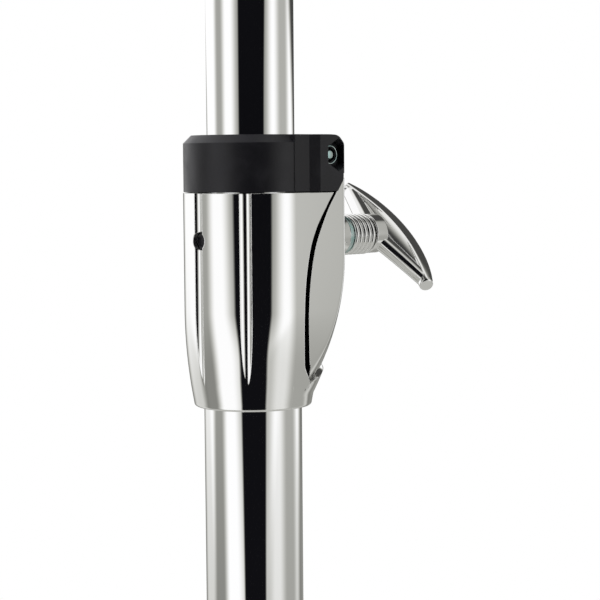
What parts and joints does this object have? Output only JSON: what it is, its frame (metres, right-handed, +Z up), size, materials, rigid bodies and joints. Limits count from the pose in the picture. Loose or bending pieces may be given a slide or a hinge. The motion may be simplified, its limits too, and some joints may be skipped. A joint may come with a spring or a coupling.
{
  "type": "straight cymbal stand",
  "caption": "Straight cymbal stand with a folding double-braced tripod, telescoping chrome tubes, keyed memory locks and a felt-padded tilter.",
  "frame": {"origin": "on the floor, under the centre of the open stand's bounding box; the tubes' axis stands at x = 0.0903 m, y = 0", "axes": "+Z up along the tubes; +X the way the clamps' bolts point, between two legs; the third leg points along -X"},
  "size_m": [0.585, 0.6756, 0.9422],
  "materials": {
    "chrome": "mirror chrome plate",
    "zinc": "bright zinc plate with a faint teal cast",
    "nylon": "moulded black nylon, semi-matt with a fine grain",
    "rubber": "matt moulded rubber",
    "felt": "pressed wool felt, dark grey"
  },
  "bodies": {
    "base": {"base_tube": "chrome", "base_tube_end_cap": "rubber", "brace_collar": "chrome", "lower_clamp_housing": "chrome", "lower_clamp_bush": "nylon", "lower_clamp_washer": "zinc", "lower_clamp_spring": "chrome", "brace_1_collar_rivet": "zinc", "brace_2_collar_rivet": "zinc", "brace_3_collar_rivet": "zinc"},
    "leg_slider": {"leg_collar": "chrome", "leg_collar_washer": "zinc", "leg_collar_spring": "chrome", "leg_1_collar_pin": "zinc", "leg_2_collar_pin": "zinc", "leg_3_collar_pin": "zinc"},
    "leg_collar_screw": {"leg_collar_wing_screw": "chrome"},
    "lower_clamp_screw": {"lower_clamp_wing_screw": "chrome"},
    "middle_stage": {"middle_tube": "chrome", "upper_clamp_housing": "chrome", "upper_clamp_bush": "nylon", "upper_clamp_washer": "zinc", "upper_clamp_spring": "chrome"},
    "upper_clamp_screw": {"upper_clamp_wing_screw": "chrome"},
    "lower_lock": {"lower_memory_lock_ring": "nylon", "lower_memory_lock_nut": "zinc"},
    "lower_lock_screw": {"lower_memory_lock_screw": "zinc"},
    "top_stage": {"top_tube": "chrome", "tilter_base": "chrome"},
    "upper_lock": {"upper_memory_lock_ring": "nylon", "upper_memory_lock_nut": "zinc"},
    "upper_lock_screw": {"upper_memory_lock_screw": "zinc"},
    "tilt_head": {"tilter_head": "chrome", "tilter_washer": "zinc", "tilter_nut": "zinc", "cymbal_rod": "zinc", "cymbal_seat": "chrome", "cymbal_sleeve": "nylon", "lower_felt": "felt"},
    "tilt_screw": {"tilter_wing_screw": "chrome"},
    "felt_stage": {"upper_felt": "felt"},
    "cymbal_nut": {"cymbal_wing_nut": "chrome"},
    "brace_1": {"brace_1_left_strip": "chrome", "brace_1_right_strip": "chrome"},
    "leg_1": {"leg_1_left_strip": "chrome", "leg_1_right_strip": "chrome", "leg_1_brace_rivet": "zinc", "foot_1": "rubber"},
    "brace_2": {"brace_2_left_strip": "chrome", "brace_2_right_strip": "chrome"},
    "leg_2": {"leg_2_left_strip": "chrome", "leg_2_right_strip": "chrome", "leg_2_brace_rivet": "zinc", "foot_2": "rubber"},
    "brace_3": {"brace_3_left_strip": "chrome", "brace_3_right_strip": "chrome"},
    "leg_3": {"leg_3_left_strip": "chrome", "leg_3_right_strip": "chrome", "leg_3_brace_rivet": "zinc", "foot_3": "rubber"}
  },
  "joints": [
    {"name": "brace_1_fold", "type": "hinge", "parent": "base", "child": "brace_1", "pos_m": [0.10729, 0.02944, 0.054], "axis": [0.866, -0.5, 0], "range_deg": [0, 53]},
    {"name": "leg_1_fold", "type": "hinge", "parent": "brace_1", "child": "leg_1", "pos_m": [0.17438, 0.14565, 0.14114], "axis": [-0.866, 0.5, 0], "range_deg": [0, 106]},
    {"name": "brace_2_fold", "type": "hinge", "parent": "base", "child": "brace_2", "pos_m": [0.05629, 0, 0.054], "axis": [0, 1, 0], "range_deg": [0, 53]},
    {"name": "leg_2_fold", "type": "hinge", "parent": "brace_2", "child": "leg_2", "pos_m": [-0.0779, 0, 0.14114], "axis": [0, -1, 0], "range_deg": [0, 106]},
    {"name": "brace_3_fold", "type": "hinge", "parent": "base", "child": "brace_3", "pos_m": [0.10729, -0.02944, 0.054], "axis": [-0.866, -0.5, 0], "range_deg": [0, 53]},
    {"name": "leg_3_fold", "type": "hinge", "parent": "brace_3", "child": "leg_3", "pos_m": [0.17438, -0.14565, 0.14114], "axis": [0.866, 0.5, 0], "range_deg": [0, 106]},
    {"name": "leg_collar_slide", "type": "slide", "parent": "base", "child": "leg_slider", "axis": [0, 0, 1], "range_m": [0, 0.14494]},
    {"name": "leg_collar_screw_turn", "type": "hinge", "parent": "leg_slider", "child": "leg_collar_screw", "pos_m": [0.09029, 0, 0.23828], "axis": [1, 0, 0], "range_deg": [0, 360]},
    {"name": "lower_clamp_screw_turn", "type": "hinge", "parent": "base", "child": "lower_clamp_screw", "pos_m": [0.09029, 0, 0.5185], "axis": [1, 0, 0], "range_deg": [0, 360]},
    {"name": "middle_tube_slide", "type": "slide", "parent": "base", "child": "middle_stage", "axis": [0, 0, 1], "range_m": [0, 0.33]},
    {"name": "upper_clamp_screw_turn", "type": "hinge", "parent": "middle_stage", "child": "upper_clamp_screw", "pos_m": [0.09029, 0, 0.69338], "axis": [1, 0, 0], "range_deg": [0, 360]},
    {"name": "lower_lock_slide", "type": "slide", "parent": "middle_stage", "child": "lower_lock", "axis": [0, 0, 1], "range_m": [0, 0.1]},
    {"name": "lower_lock_screw_turn", "type": "hinge", "parent": "lower_lock", "child": "lower_lock_screw", "pos_m": [0.10539, 0, 0.5427], "axis": [0, 1, 0], "range_deg": [0, 360]},
    {"name": "top_tube_slide", "type": "slide", "parent": "middle_stage", "child": "top_stage", "axis": [0, 0, 1], "range_m": [0, 0.34]},
    {"name": "upper_lock_slide", "type": "slide", "parent": "top_stage", "child": "upper_lock", "axis": [0, 0, 1], "range_m": [0, 0.065]},
    {"name": "upper_lock_screw_turn", "type": "hinge", "parent": "upper_lock", "child": "upper_lock_screw", "pos_m": [0.10379, 0, 0.71457], "axis": [0, 1, 0], "range_deg": [0, 360]},
    {"name": "tilt", "type": "hinge", "parent": "top_stage", "child": "tilt_head", "pos_m": [0.09029, 0, 0.8363], "axis": [0, 1, 0], "range_deg": [-90, 90]},
    {"name": "tilt_screw_turn", "type": "hinge", "parent": "tilt_head", "child": "tilt_screw", "pos_m": [0.09029, 0, 0.8363], "axis": [0, 1, 0], "range_deg": [0, 360]},
    {"name": "felt_lift", "type": "slide", "parent": "tilt_head", "child": "felt_stage", "axis": [0, 0, 1], "range_m": [0, 0.0125]},
    {"name": "cymbal_nut_turn", "type": "hinge", "parent": "felt_stage", "child": "cymbal_nut", "pos_m": [0.09029, 0, 0.915], "axis": [0, 0, 1], "range_deg": [0, 3600]}
  ],
  "couplings": [
    {"joint": "leg_1_fold", "follows": "brace_1_fold", "ratio": 2},
    {"joint": "brace_2_fold", "follows": "brace_1_fold", "ratio": 1},
    {"joint": "leg_2_fold", "follows": "brace_1_fold", "ratio": 2},
    {"joint": "brace_3_fold", "follows": "brace_1_fold", "ratio": 1},
    {"joint": "leg_3_fold", "follows": "brace_1_fold", "ratio": 2},
    {"joint": "leg_collar_slide", "follows": "brace_1_fold", "m_per_rad": 0.15668},
    {"joint": "felt_lift", "follows": "cymbal_nut_turn", "m_per_rad": 0.00019894}
  ]
}
